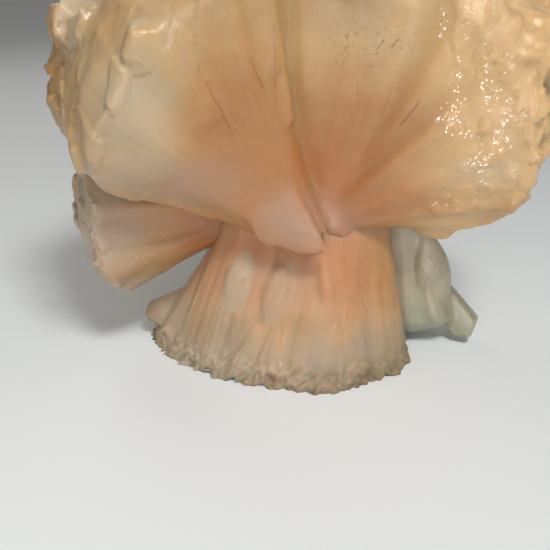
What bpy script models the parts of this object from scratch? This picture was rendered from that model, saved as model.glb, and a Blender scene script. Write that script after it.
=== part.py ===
"""Stilbite cluster: a wheat-sheaf of grown-together crystals, modelled as one solid in metres, +Z up.

The sheaf is an hourglass. Fibres spread upward and downward from a narrow waist, so every lobe is a
fan: a bundle of flat blades that starts at the waist and opens towards its crystal tips. Single blades
stand proud of the fans, and blocky crystals sit on the skirt and its rim. All of it is grown together,
so it is joined into one body and cut off flat underneath. The front looks along +Y, and the origin is
the middle of the flat cut that the cluster rests on.
"""

import math
import random
from collections import namedtuple

import bmesh
import bpy
from mathutils import Matrix, Vector

MM = 0.001
FRONT = Vector((0, -1, 0.2))

# Driving dimensions, in mm
BLADE_RIDGE = 0.5
TIP_STEP = 1.0
RIM_CLEARANCE = 1.0
CUT_DEPTH = 1.5
CLEAN_UP = 0.04

# Shares of a fan's size: how round its section is, the spread that it already has at its root, and how
# much shorter the fibres get at its narrow edges and at its broad faces
SECTION_ROUNDNESS = 0.86
ROOT_SPREAD = 0.6
EDGE_FALL = 0.05
FACE_FALL = 0.14

# Single blades on the broad faces of a fan, and crystals on its cap. Starts and ends are shares of the
# fibre that they follow, half-widths and half-thicknesses are in mm, each from the least to the most.
PROUD_BLADES = 5
BLADE_START = (0.3, 0.55)
BLADE_END = (0.9, 1.02)
BLADE_HALF_WIDTH = (1.8, 3.6)
BLADE_HALF_THICKNESS = (0.9, 1.4)
CAP_CRYSTALS = 12
CAP_START = 0.6
CAP_END = (1.0, 1.05)
CAP_HALF_WIDTH = (3.0, 5.5)
CAP_HALF_THICKNESS = (1.6, 3.2)

# Shares of a crystal's size: its width at the foot, the slope of its chisel end, the width of a leaf's
# ends, and how much thicker the middle is than the sides
FOOT_WIDTH = 0.8
CHISEL_SLOPE = 0.7
LEAF_END_WIDTH = 0.25
MIDDLE_SWELL = 1.25

SEED = 15

STILBITE_PEACH = (0.80, 0.52, 0.34, 1.0)
ROUGHNESS = 0.35

# A fan's root is the middle of the place where its fibres start, toward is its middle fibre and across
# the direction in which it opens wide. wide and thin are half-angles in degrees, reach is the length of
# the middle fibre, root_wide and root_thin are half-sizes of the root, heel is how much shorter the
# fibres get on the side away from across, and lean how much longer on the side towards it. blades,
# layers and rows count its columns of blades, sheets of blades and rows along the fibre. Sizes are in mm.
# The lower fans reach the ground whatever their reach, and their heel lifts the rim by that many mm.
FAN_FIELDS = "name root toward across wide thin reach root_wide root_thin heel lean blades layers rows"
Fan = namedtuple("Fan", FAN_FIELDS)

UPPER_FANS = [
    Fan(
        "front_left", (-2, -8, 35), (-0.59, -0.13, 0.80), (0.80, 0, 0.59),
        wide=34, thin=17, reach=61, root_wide=8, root_thin=9, heel=0.38, lean=0.04,
        blades=20, layers=5, rows=6,
    ),
    Fan(
        "front_right", (10, -7, 37), (0.82, -0.11, 0.56), (-0.56, 0, 0.82),
        wide=33, thin=18, reach=53, root_wide=6, root_thin=9, heel=0.42, lean=0.18,
        blades=20, layers=5, rows=6,
    ),
    Fan(
        "front_middle", (5, -4, 35), (0.22, -0.08, 0.97), (1, 0, -0.2),
        wide=26, thin=15, reach=61, root_wide=8, root_thin=8, heel=0.0, lean=0.0,
        blades=12, layers=5, rows=6,
    ),
    Fan(
        "left_edge", (-5, 2, 35), (-0.63, 0.03, 0.77), (0.77, 0, 0.63),
        wide=31, thin=12, reach=65, root_wide=7, root_thin=7, heel=0.32, lean=0.03,
        blades=14, layers=3, rows=5,
    ),
    Fan(
        "right_edge", (9, 1, 37), (0.80, 0.02, 0.60), (-0.60, 0, 0.80),
        wide=31, thin=12, reach=56, root_wide=6, root_thin=7, heel=0.42, lean=0.14,
        blades=14, layers=3, rows=5,
    ),
    Fan(
        "back_left", (-4, 6, 35), (-0.56, 0.24, 0.79), (0.79, 0, 0.56),
        wide=35, thin=20, reach=58, root_wide=9, root_thin=9, heel=0.30, lean=0.04,
        blades=14, layers=5, rows=5,
    ),
    Fan(
        "back_right", (8, 6, 36), (0.72, 0.24, 0.65), (-0.65, 0, 0.72),
        wide=36, thin=20, reach=54, root_wide=9, root_thin=9, heel=0.34, lean=0.12,
        blades=14, layers=5, rows=5,
    ),
    Fan(
        "back_middle", (2, 8, 35), (0.04, 0.28, 0.96), (1, 0, 0),
        wide=34, thin=18, reach=59, root_wide=10, root_thin=8, heel=0.0, lean=0.0,
        blades=12, layers=5, rows=5,
    ),
]

SIDE_FANS = [
    Fan(
        "ear", (-17, -1, 33), (-0.98, -0.10, -0.10), (-0.1, 0, 1),
        wide=18, thin=13, reach=34, root_wide=7, root_thin=5, heel=0.16, lean=0.0,
        blades=10, layers=3, rows=4,
    ),
    Fan(
        "pearly_blade", (26, 3, 31), (0.30, -0.04, -0.95), (1, 0, 0.3),
        wide=10, thin=8, reach=28, root_wide=7, root_thin=4, heel=0.1, lean=0.0,
        blades=6, layers=2, rows=3,
    ),
]

LOWER_FANS = [
    Fan(
        "skirt", (4.5, 1, 38), (-0.17, 0.0, -0.98), (1, -0.6, 0),
        wide=20, thin=17, reach=38, root_wide=18, root_thin=14, heel=3.0, lean=0,
        blades=26, layers=12, rows=4,
    ),
    Fan(
        "skirt_fold_left", (-7, -5, 38), (-0.20, -0.12, -0.97), (1, -0.7, 0),
        wide=11, thin=6, reach=38, root_wide=9, root_thin=6, heel=1.5, lean=0,
        blades=10, layers=2, rows=4,
    ),
    Fan(
        "skirt_fold_right", (13, -4, 38), (-0.02, -0.18, -0.98), (1, 0.3, 0),
        wide=9, thin=6, reach=38, root_wide=9, root_thin=8, heel=0, lean=0,
        blades=10, layers=2, rows=4,
    ),
]

# Single crystals: foot and tip of the middle line, half-width, half-thickness and turn about that line.
CRYSTALS = [
    ("stub", (37, 2, 12), (46, -2, 2.2), 3.6, 2.6, 20),
    ("rim_block_large", (-27, 5, 9), (-37.2, 2.6, 4.4), 3.2, 2.6, 25),
    ("rim_block_middle", (-25, 0, 7), (-31.5, -4.0, 2.6), 2.2, 2.0, 60),
    ("rim_block_small", (-22, -4, 6), (-27.5, -8.5, 2.4), 1.9, 1.6, 40),
    ("right_tip", (46, -3, 55), (58.0, -4, 58.5), 2.6, 1.8, 15),
]

# Leaves: flat, oval crystals that lie on the skirt, given the same way.
LEAVES = [
    ("leaf_left", (-11.0, -13.3, 28.3), (-15.1, -16.3, 14.6), 3.1, 1.9, 0),
    ("leaf_middle", (-1.6, -15.8, 27.2), (-6.6, -19.8, 13.0), 3.1, 1.8, 0),
    ("leaf_ridge", (5.6, -16.6, 30.0), (8.2, -21.6, 13.4), 1.7, 1.8, 0),
]


def unit(vector):
    return Vector(vector).normalized()


def fan_axes(fan):
    """The middle fibre, the wide direction and the thin direction."""
    along = unit(fan.toward)
    across = Vector(fan.across)
    wide = (across - along * along.dot(across)).normalized()
    return along, wide, along.cross(wide)


def round_section(a, b):
    """Draws a square section, -1 to 1 both ways, towards a disc."""
    return (
        a * math.sqrt(1 - SECTION_ROUNDNESS * b * b / 2),
        b * math.sqrt(1 - SECTION_ROUNDNESS * a * a / 2),
    )


def fibre_line(fan, x, y, r, tip=0.0):
    """The point at share r along the fibre at x, y in the fan's section."""
    along, wide, thin = fan_axes(fan)
    a, b = round_section(x, y)
    spread = ROOT_SPREAD + (1 - ROOT_SPREAD) * r
    a_angle = math.radians(fan.wide) * a * spread
    b_angle = math.radians(fan.thin) * b * spread
    direction = (
        along * (math.cos(a_angle) * math.cos(b_angle))
        + wide * (math.sin(a_angle) * math.cos(b_angle))
        + thin * math.sin(b_angle)
    )
    start = Vector(fan.root) + wide * (a * fan.root_wide) + thin * (b * fan.root_thin)
    if fan in LOWER_FANS:
        rim = max(abs(a), abs(b)) ** 4
        raised = RIM_CLEARANCE + fan.heel * ((1 - a) / 2) ** 2 + tip
        length = (start.z + CUT_DEPTH - rim * (CUT_DEPTH + raised)) / -direction.z
    else:
        heel = fan.heel * ((1 - a) / 2) ** 5
        share = 1 - heel + fan.lean * a - EDGE_FALL * a**4 - FACE_FALL * b * b
        length = fan.reach * share + tip
    return start + direction * (length * r)


def looped_block(cuts):
    """A cube from -1 to 1 with that many equal strips along x, y and z."""
    mesh = bmesh.new()
    bmesh.ops.create_cube(mesh, size=2.0)
    for axis, count in enumerate(cuts):
        edges = [e for e in mesh.edges if abs((e.verts[0].co - e.verts[1].co)[axis]) > 1e-6]
        bmesh.ops.subdivide_edges(mesh, edges=edges, cuts=count - 1, use_grid_fill=True)
    return mesh


def fan_mesh(fan):
    """A block with loop cuts, spread into a fan: x runs across the blades and z along the fibres."""
    rng = random.Random(SEED + sum(map(ord, fan.name)))
    thin = fan_axes(fan)[2]
    columns, sheets = fan.blades + 1, fan.layers + 1
    shift = [rng.uniform(-0.35, 0.35) * 2 / fan.blades for _ in range(columns)]
    shift[0] = shift[-1] = 0.0
    ridge = [BLADE_RIDGE * rng.choice((-1.2, -0.5, 0.3, 0.8, 1.3)) for _ in range(columns)]
    tip = [[TIP_STEP * rng.uniform(-1.5, 1.5) for _ in range(sheets)] for _ in range(columns)]
    mesh = looped_block((fan.blades, fan.layers, fan.rows))
    for vert in mesh.verts:
        i = round((vert.co.x + 1) / 2 * fan.blades)
        j = round((vert.co.y + 1) / 2 * fan.layers)
        r = (vert.co.z + 1) / 2
        point = fibre_line(fan, vert.co.x + shift[i], vert.co.y, r, tip[i][j])
        vert.co = (point + thin * (ridge[i] * vert.co.y**3 * r)) * MM
    bmesh.ops.triangulate(mesh, faces=mesh.faces[:])
    bmesh.ops.recalc_face_normals(mesh, faces=mesh.faces)
    return mesh


def crystal_mesh(foot, tip, half_width, half_thickness, facing, leaf=False):
    """A flat crystal from foot to tip, in mm, its thin side towards facing. It ends in a chisel, or it
    narrows towards both ends if it is a leaf."""
    foot, tip = Vector(foot), Vector(tip)
    along = (tip - foot).normalized()
    thin = (facing - along * along.dot(facing)).normalized()
    wide = thin.cross(along)
    mesh = looped_block((2, 1, 4 if leaf else 1))
    for vert in mesh.verts:
        x, y, z = vert.co
        share = (z + 1) / 2
        if leaf:
            width = LEAF_END_WIDTH + (1 - LEAF_END_WIDTH) * math.sin(math.pi * share)
            reach = (tip - foot).length
        else:
            width = FOOT_WIDTH + (1 - FOOT_WIDTH) * share
            reach = (tip - foot).length - (half_width * CHISEL_SLOPE * abs(x) if share else 0)
        swell = 1.0 if x else MIDDLE_SWELL
        sideways = wide * (x * half_width * width) + thin * (y * half_thickness * width * swell)
        vert.co = (foot + along * (reach * share) + sideways) * MM
    bmesh.ops.recalc_face_normals(mesh, faces=mesh.faces)
    return mesh


def proud_blades(fan, rng):
    """Single blades along a fan's fibres that stand a little proud of its two broad faces."""
    thin = fan_axes(fan)[2]
    for number in range(PROUD_BLADES):
        side = -1 if number % 3 else 1
        x = rng.uniform(-0.9, 0.9)
        foot = fibre_line(fan, x, side * 0.9, rng.uniform(*BLADE_START))
        tip = fibre_line(fan, x + rng.uniform(-0.05, 0.05), side * 0.96, rng.uniform(*BLADE_END))
        half_width = rng.uniform(*BLADE_HALF_WIDTH)
        yield crystal_mesh(foot, tip, half_width, rng.uniform(*BLADE_HALF_THICKNESS), thin * side)


def cap_crystals(fan, rng):
    """Blocky crystals that end a fan's fibres and stand out of its rim."""
    thin = fan_axes(fan)[2]
    for _ in range(CAP_CRYSTALS):
        x, y = rng.uniform(-0.95, 0.95), rng.uniform(-0.85, 0.85)
        foot = fibre_line(fan, x, y, CAP_START)
        tip = fibre_line(fan, x, y, rng.uniform(*CAP_END))
        half_width = rng.uniform(*CAP_HALF_WIDTH)
        yield crystal_mesh(foot, tip, half_width, rng.uniform(*CAP_HALF_THICKNESS), thin)


def add_object(name, mesh, collection):
    data = bpy.data.meshes.new(name)
    mesh.to_mesh(data)
    mesh.free()
    made = bpy.data.objects.new(name, data)
    collection.objects.link(made)
    return made


def grown_together(name, core, others, collection):
    """One body of the core and everything in the other collection, as a new object."""
    union = core.modifiers.new("grown_together", "BOOLEAN")
    union.operation = "UNION"
    union.solver = "EXACT"
    union.use_self = False
    union.operand_type = "COLLECTION"
    union.collection = others
    evaluated = core.evaluated_get(bpy.context.evaluated_depsgraph_get())
    data = bpy.data.meshes.new_from_object(evaluated)
    data.name = name
    core.modifiers.remove(union)
    made = bpy.data.objects.new(name, data)
    collection.objects.link(made)
    return made


def whole_body(start):
    """All points that can be reached from start along edges."""
    reached = {start}
    waiting = [start]
    while waiting:
        vert = waiting.pop()
        for edge in vert.link_edges:
            other = edge.other_vert(vert)
            if other not in reached:
                reached.add(other)
                waiting.append(other)
    return reached


def cut_flat(cluster):
    """Cuts the body off flat at the ground, closes the cut, and drops sealed hollows between crystals."""
    mesh = bmesh.new()
    mesh.from_mesh(cluster.data)
    everything = mesh.verts[:] + mesh.edges[:] + mesh.faces[:]
    cut = bmesh.ops.bisect_plane(
        mesh, geom=everything, dist=1e-7, plane_co=(0, 0, 0), plane_no=(0, 0, -1), clear_outer=True
    )
    rim = [e for e in cut["geom_cut"] if isinstance(e, bmesh.types.BMEdge)]
    bmesh.ops.contextual_create(mesh, geom=rim)
    kept = whole_body(max(mesh.verts, key=lambda vert: vert.co.z))
    bmesh.ops.delete(mesh, geom=[v for v in mesh.verts if v not in kept], context="VERTS")
    bmesh.ops.triangulate(mesh, faces=mesh.faces[:])
    bmesh.ops.remove_doubles(mesh, verts=mesh.verts[:], dist=CLEAN_UP * MM)
    bmesh.ops.dissolve_degenerate(mesh, edges=mesh.edges[:], dist=CLEAN_UP * MM)
    bmesh.ops.triangulate(mesh, faces=mesh.faces[:])
    bmesh.ops.recalc_face_normals(mesh, faces=mesh.faces)
    mesh.to_mesh(cluster.data)
    mesh.free()


def stilbite():
    material = bpy.data.materials.new("stilbite")
    material.use_nodes = True
    shader = material.node_tree.nodes["Principled BSDF"]
    shader.inputs["Base Color"].default_value = STILBITE_PEACH
    shader.inputs["Roughness"].default_value = ROUGHNESS
    shader.inputs["Metallic"].default_value = 0.0
    return material


def clear_scene():
    for old in list(bpy.data.objects):
        bpy.data.objects.remove(old, do_unlink=True)


def new_collection(name):
    made = bpy.data.collections.new(name)
    bpy.context.scene.collection.children.link(made)
    return made


def main():
    clear_scene()
    parts = new_collection("stilbite_cluster")
    crystals = new_collection("crystals")
    core = add_object("core", fan_mesh(LOWER_FANS[0]), parts)
    for fan in UPPER_FANS + SIDE_FANS + LOWER_FANS[1:]:
        add_object(fan.name, fan_mesh(fan), crystals)
    for fan in UPPER_FANS:
        rng = random.Random(SEED * 3 + sum(map(ord, fan.name)))
        for mesh in list(proud_blades(fan, rng)) + list(cap_crystals(fan, rng)):
            add_object(f"{fan.name}_crystal", mesh, crystals)
    for name, foot, tip, half_width, half_thickness, turn in CRYSTALS + LEAVES:
        about_middle_line = Matrix.Rotation(math.radians(turn), 3, unit(Vector(tip) - Vector(foot)))
        facing = about_middle_line @ FRONT
        mesh = crystal_mesh(foot, tip, half_width, half_thickness, facing, name.startswith("leaf"))
        add_object(name, mesh, crystals)
    cluster = grown_together("stilbite_cluster", core, crystals, parts)
    for part in [core] + list(crystals.objects):
        bpy.data.objects.remove(part, do_unlink=True)
    bpy.data.collections.remove(crystals)
    cut_flat(cluster)
    cluster.data.materials.clear()
    cluster.data.materials.append(stilbite())


main()
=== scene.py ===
"""Looks of the stilbite cluster, in metres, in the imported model's frame: +Z up, the front faces -Y.

Every lobe is a fan of fibres that starts at the waist. The tables below repeat the fans, blades and
crystals of the solid, in mm, and add a few low ones that fill its valleys. Each fan is made again here with
its folds and the sheets of its cap, and the fans of a piece are grown together into one fine, waxy surface.
Fibre coordinates stay on the mesh as attributes, and the material draws its striations and bands of colour
along them.
"""

import math
import random
from collections import namedtuple

import bmesh
import bpy
import numpy as np
from mathutils import Matrix, Vector, noise
from mathutils.kdtree import KDTree


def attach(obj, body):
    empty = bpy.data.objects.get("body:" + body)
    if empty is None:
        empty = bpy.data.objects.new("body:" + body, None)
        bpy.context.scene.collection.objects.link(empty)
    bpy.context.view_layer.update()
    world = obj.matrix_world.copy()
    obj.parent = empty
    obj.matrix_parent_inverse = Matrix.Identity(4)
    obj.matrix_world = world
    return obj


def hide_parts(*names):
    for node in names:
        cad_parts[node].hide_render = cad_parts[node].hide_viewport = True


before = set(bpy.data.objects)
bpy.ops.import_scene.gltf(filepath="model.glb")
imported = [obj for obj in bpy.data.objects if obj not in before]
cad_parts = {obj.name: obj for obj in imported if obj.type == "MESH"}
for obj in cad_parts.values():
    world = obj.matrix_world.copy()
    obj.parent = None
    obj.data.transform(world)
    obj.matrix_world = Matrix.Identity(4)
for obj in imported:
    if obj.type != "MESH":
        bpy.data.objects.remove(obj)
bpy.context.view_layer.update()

MM = 0.001
NODE = "stilbite_cluster"
FRONT = Vector((0, -1, 0.2))
SEED = 15

# Shape of a fan, as in the solid
SECTION_ROUNDNESS = 0.86
ROOT_SPREAD = 0.6
EDGE_FALL = 0.05
FACE_FALL = 0.14
RIM_CLEARANCE = 1.0
CUT_DEPTH = 1.5

# Finer relief that only the looks have, in mm, and how far a fan closes again towards its rim
FOLD = 1.3
BLADE_STEP = 0.25
SWELL = 0.9
SHEET_TIP = 1.3
BLADE_TIP = 0.5
CELL_TIP = 1.6
SHEET_ROUNDING = 1.4
ROOT_STEP = 2.6
PILLOW = 0.28
PILLOW_RANGE = (0.55, 1.0)
SKIRT_CALM = 0.5

# Strips that a fan is divided into, the points in each, and how many blades a fold or a group takes up
STRIP_UNEVENNESS = 0.45
STRIP_GAP = 0.05
SHEET_GAP = 0.03
BLADE_POINTS = 3
SHEET_POINTS = 5
BLADES_PER_FOLD = 5
BLADES_PER_GROUP = 4
SWELL_WAVES = 4
FULL_TURN = 6.3

# Single blades on the broad faces of a fan, and crystals on its cap, drawn as in the solid
PROUD_BLADES = 5
BLADE_DEPTH = 0.08
BLADE_FOOT_PLACE = 0.9
BLADE_TIP_PLACE = 0.96
BLADE_SPREAD = 0.9
BLADE_SLANT = 0.05
BLADE_START = (0.3, 0.55)
BLADE_END = (0.9, 1.02)
BLADE_HALF_WIDTH = (1.8, 3.6)
BLADE_HALF_THICKNESS = (0.9, 1.4)
CAP_CRYSTALS = 12
CAP_SPREAD = (0.95, 0.85)
CAP_START = 0.6
CAP_END = (1.0, 1.05)
CAP_HALF_WIDTH = (3.0, 5.5)
CAP_HALF_THICKNESS = (1.6, 3.2)
FOOT_WIDTH = 0.8
CHISEL_SLOPE = 0.7
MIDDLE_SWELL = 1.25
CHISEL_STEPS = (3, 2)
LEAF_STEPS = (9, 13)
LEAF_SINK = 0.95
LEAF_END_WIDTH = 0.25
LEAF_EDGE = (1.15, 0.92)

# How far a piece is softened, in rounds, and its fibre coordinates
SOFTENING_ROUNDS = 8
FIBRE_ROUNDS = 12
FIBRE_SOFTNESS = 0.5

FAN_FIELDS = (
    "name", "root", "toward", "across", "wide", "thin", "reach", "root_wide", "root_thin",
    "heel", "lean", "blades", "layers", "rows", "drop", "rough", "cells",
)
Fan = namedtuple("Fan", FAN_FIELDS)

# wide and thin are half the angles that a fan opens to, in degrees, reach is its length, and root_wide and
# root_thin are half its size at the root, in mm. heel and lean make its fibres shorter on the side away
# from across than on the other. blades and layers count the small blades across the fan and the sheets of
# them, rows the steps along a fibre. drop is how far the front fibres on the side towards across start
# from the root, in mm: it makes the lips over the waist. rough is how uneven the crystal tips are, and
# cells how much single blades differ from their sheet.
UPPER_FANS = [
    Fan(
        "front_left", (-2, -8, 35), (-0.59, -0.13, 0.80), (0.80, 0, 0.59),
        wide=34, thin=17, reach=61, root_wide=8, root_thin=9, heel=0.38, lean=0.04,
        blades=34, layers=9, rows=54, drop=(3, -5, -1), rough=0.45, cells=0.2,
    ),
    Fan(
        "front_right", (10, -7, 37), (0.82, -0.11, 0.56), (-0.56, 0, 0.82),
        wide=33, thin=18, reach=53, root_wide=6, root_thin=9, heel=0.42, lean=0.18,
        blades=32, layers=9, rows=50, drop=(1, -2, -1), rough=0.8, cells=0.4,
    ),
    Fan(
        "front_middle", (5, -4, 35), (0.22, -0.08, 0.97), (1, 0, -0.2),
        wide=26, thin=15, reach=61, root_wide=8, root_thin=8, heel=0.0, lean=0.0,
        blades=26, layers=8, rows=54, drop=(2, -6, 1.0), rough=0.7, cells=0.5,
    ),
    Fan(
        "left_edge", (-5, 2, 35), (-0.63, 0.03, 0.77), (0.77, 0, 0.63),
        wide=31, thin=12, reach=65, root_wide=7, root_thin=7, heel=0.32, lean=0.03,
        blades=30, layers=7, rows=36, drop=(0, 0, 0), rough=0.5, cells=0.3,
    ),
    Fan(
        "right_edge", (9, 1, 37), (0.80, 0.02, 0.60), (-0.60, 0, 0.80),
        wide=31, thin=12, reach=56, root_wide=6, root_thin=7, heel=0.42, lean=0.14,
        blades=28, layers=7, rows=34, drop=(0, 0, 0), rough=0.8, cells=0.3,
    ),
    Fan(
        "back_left", (-4, 6, 35), (-0.56, 0.24, 0.79), (0.79, 0, 0.56),
        wide=35, thin=20, reach=58, root_wide=9, root_thin=9, heel=0.30, lean=0.04,
        blades=30, layers=9, rows=44, drop=(0, 0, 0), rough=0.9, cells=0.6,
    ),
    Fan(
        "back_right", (8, 6, 36), (0.72, 0.24, 0.65), (-0.65, 0, 0.72),
        wide=36, thin=20, reach=54, root_wide=9, root_thin=9, heel=0.34, lean=0.12,
        blades=30, layers=9, rows=44, drop=(0, 0, 0), rough=0.9, cells=0.8,
    ),
    Fan(
        "back_middle", (2, 8, 35), (0.04, 0.28, 0.96), (1, 0, 0),
        wide=34, thin=18, reach=59, root_wide=10, root_thin=8, heel=0.0, lean=0.0,
        blades=26, layers=8, rows=44, drop=(0, 0, 0), rough=0.8, cells=0.6,
    ),
]

# Name, foot, tip, half-width, half-thickness and turn about its length in degrees
CRYSTALS = [
    ("stub", (37, 2, 12), (44.8, -2, 2.0), 3.6, 2.6, 20),
    ("rim_block_large", (-27, 5, 9), (-37.2, 2.6, 4.4), 3.2, 2.6, 25),
    ("rim_block_middle", (-25, 0, 7), (-31.5, -4.0, 2.6), 2.2, 2.0, 60),
    ("rim_block_small", (-22, -4, 6), (-27.5, -8.5, 2.4), 1.9, 1.6, 40),
    ("right_tip", (46, -3, 55), (58.0, -4, 58.5), 2.6, 1.8, 15),
    ("left_block_high", (-34, -7, 62), (-50.5, -8, 81), 5.0, 4.0, 20),
    ("left_block_front", (-30, -14, 60), (-44.5, -17, 80), 4.5, 3.5, 30),
]
LEAVES = [
    ("leaf_left", (-11.0, -13.3, 28.3), (-15.1, -16.3, 14.6), 3.1, 1.9, 0),
    ("leaf_middle", (-1.6, -15.8, 27.2), (-6.6, -19.8, 13.0), 3.1, 1.8, 0),
    ("leaf_ridge", (5.6, -16.6, 30.0), (8.2, -21.6, 13.4), 1.7, 1.8, 0),
    ("pearly_bulge", (31.5, -0.5, 29.0), (36.0, -2.5, 7.5), 4.8, 3.6, 0),
]

# Low shoulders that fill the valley between the middle and the right lobe, and the crease behind it
FILLING_FANS = [
    Fan(
        "shoulder", (9.5, -6.5, 37), (0.54, -0.14, 0.80), (0.80, 0, -0.54),
        wide=18, thin=16, reach=62, root_wide=4, root_thin=7, heel=0, lean=0,
        blades=16, layers=8, rows=40, drop=(0, 0, 0), rough=0.9, cells=0.8,
    ),
    Fan(
        "right_crease", (9.5, -3.5, 37), (0.81, -0.05, 0.58), (-0.58, 0, 0.81),
        wide=32, thin=11, reach=55, root_wide=5, root_thin=6, heel=0.42, lean=0.16,
        blades=28, layers=6, rows=40, drop=(0, 0, 0), rough=0.8, cells=0.3,
    ),
]

# The thin plate that hangs over the waist: its left and right corners above and below, its thickness,
# and the blades, teeth and steps of its ragged edge, in mm
LIP_TOP = np.array([(-13.5, -19.0, 46.0), (-3.0, -17.0, 51.0)])
LIP_BOTTOM = np.array([(-8.0, -19.8, 32.4), (6.9, -22.8, 31.6)])
LIP_HALF_THICKNESS = (2.6, 0.6)
LIP_REACH = 16.0
LIP_BLADES = 14
LIP_POINTS = 2
LIP_ROWS = 13
LIP_TOOTH = 1.1
LIP_STEP = 0.3

SIDE_FANS = [
    Fan(
        "ear", (-17, -1, 33), (-0.98, -0.10, -0.10), (-0.1, 0, 1),
        wide=18, thin=13, reach=34, root_wide=7, root_thin=5, heel=0.16, lean=0.0,
        blades=16, layers=9, rows=34, drop=(0, 0, 0), rough=0.7, cells=0.5,
    ),
    Fan(
        "pearly_blade", (26, 3, 31), (0.20, -0.04, -0.97), (1, 0, 0.3),
        wide=8, thin=8, reach=30, root_wide=6, root_thin=4, heel=0.1, lean=0.0,
        blades=7, layers=5, rows=28, drop=(0, 0, 0), rough=0.3, cells=0.1,
    ),
]

LOWER_FANS = [
    Fan(
        "skirt", (4.5, 1, 38), (-0.17, 0.0, -0.98), (1, -0.6, 0),
        wide=20, thin=17, reach=38, root_wide=18, root_thin=14, heel=3.0, lean=0,
        blades=40, layers=34, rows=40, drop=(0, 0, 0), rough=1.4, cells=0.9,
    ),
    Fan(
        "skirt_fold_left", (-7, -5, 38), (-0.20, -0.12, -0.97), (1, -0.7, 0),
        wide=11, thin=6, reach=38, root_wide=9, root_thin=6, heel=1.5, lean=0,
        blades=18, layers=8, rows=40, drop=(0, 0, 0), rough=1.4, cells=0.9,
    ),
    Fan(
        "skirt_fold_right", (13, -4, 38), (-0.02, -0.18, -0.98), (1, 0.3, 0),
        wide=9, thin=6, reach=38, root_wide=9, root_thin=8, heel=0, lean=0,
        blades=18, layers=8, rows=40, drop=(0, 0, 0), rough=1.4, cells=0.9,
    ),
]

# Crystal faces on the surface: where, height and size in mm, the direction that they are drawn out in,
# and how many times
FACES = {
    "sheaf": (
        ("right", 0.26, 3.0, (0.35, 0, 0.94), 1.8),
        ("right", 0.16, 1.7, (0.35, 0, 0.94), 1.4),
        ("rim", 1.2, 4.4, (0, 1, 0), 2.0),
        ("left", 0.7, 6.5, (-0.35, 0, 0.94), 2.6),
        ("left", 0.1, 2.4, (-0.35, 0, 0.94), 1.8),
    ),
    "ear_lobe": (("cap", 0.6, 3.6, (0, 0, 1), 1.0),),
}

# Faces in the fibre coordinates of the skirt, their height in mm, and height and size of its rim's crumbs
SKIRT_CELLS = (4.5, 3.5, 0.9)
SKIRT_FACE = 0.26
RIM_CRUMBS = ((0.55, 2.8), (0.4, 1.3))

# Least share of faces that counts, what tells cells apart, and how high the steps between them are
FACE_SHARE = 0.02
CELL_SHUFFLE = 37.0
CELL_STEP = 0.5

# Colours of the crystal, in linear light
ORANGE = (0.42, 0.155, 0.042)
SALMON = (0.44, 0.205, 0.08)
PEACH = (0.48, 0.265, 0.105)
CREAM = (0.53, 0.35, 0.16)
WHITE = (0.46, 0.375, 0.265)
PINK = (0.405, 0.245, 0.16)
# Partly the skirt's own salmon, partly painted light: made paler where the lobes shade the top of the skirt
DEEP_SALMON = (0.55, 0.305, 0.17)
LIGHT_PEACH = (0.66, 0.43, 0.21)
TIP_CREAM = (0.50, 0.365, 0.215)
EAR_WHITE = (0.43, 0.34, 0.25)
TAN = (0.40, 0.235, 0.095)
PEACH_GREY = (0.36, 0.27, 0.18)
OCHRE = (0.245, 0.195, 0.105)
GREEN_GREY = (0.30, 0.295, 0.205)
ROSE_CREAM = (0.52, 0.335, 0.19)
PEARL = (0.50, 0.44, 0.33)
# Dark brown of dirt and crumbs, also laid on as painted shade in the gap under the left lobe
DIRT_AND_SHADE = (0.12, 0.07, 0.04)
CRACK_BROWN = (0.20, 0.08, 0.025)

# Colours from the root of the fibres to their tip
LOBE_STOPS = ((0.0, SALMON), (0.25, SALMON), (0.5, PEACH), (0.8, CREAM), (1.0, TIP_CREAM))
EAR_STOPS = ((0.0, SALMON), (0.3, SALMON), (0.6, PEACH), (0.85, EAR_WHITE), (1.0, EAR_WHITE))
SKIRT_STOPS = (
    (0.0, DEEP_SALMON), (0.5, DEEP_SALMON), (0.66, ROSE_CREAM), (0.85, PEACH_GREY), (1.0, OCHRE),
)
PEARLY_STOPS = ((0.0, PEARL), (0.6, PEARL), (1.0, GREEN_GREY))

# Size of the steps in mm, gloss, strength of the veils, and colours of each piece
PIECES = {
    "sheaf": (0.68, 0.6, 0.06, LOBE_STOPS),
    "ear_lobe": (0.5, 0.6, 0.06, EAR_STOPS),
    "skirt_body": (0.45, 0.1, 0.04, SKIRT_STOPS),
    "pearly_crystal": (0.45, 0.8, 0.08, PEARLY_STOPS),
}

# Patches of a tint: middle in mm, radius along X, Y and Z in mm, and strength
ORANGE_PATCHES = [
    ((7, -18, 47), (14, 14, 15), 0.9),
    ((14, -23, 60), (16, 10, 12), 0.6),
    ((22, -18, 42), (12, 12, 7), 0.7),
    ((-13, -27, 60), (12, 12, 22), 0.6),
    ((6, -16, 40), (10, 12, 10), 0.5),
    ((0, -18, 29), (20, 14, 5), 0.7),
    ((14, -18, 22), (10, 10, 10), 0.5),
    # Painted shade: darker orange in the gap under the left lobe at the waist
    ((-22, -4, 30), (5, 12, 6), 0.9),
]
WHITE_PATCHES = [
    ((-31, -34, 66), (9, 12, 6), 0.75),
    ((-31, -31, 57), (9, 12, 9), 0.7),
    # Partly the whitish crumbs of the rim, partly painted light on the left of the rim, which faces away
    # from the key light
    ((-18, -10, 3), (20, 16, 4.5), 0.9),
    ((-38, -28, 50), (10, 12, 5), 0.5),
    ((-44, -14, 79), (5, 12, 8), 0.8),
    ((-41, -24, 66), (3, 12, 9), 0.3),
    ((36, -27, 50), (10, 12, 4), 0.45),
    ((-28, -2, 7), (7, 12, 6), 0.8),
    ((2, -22, 6), (32, 14, 4), 0.3),
]
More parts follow.
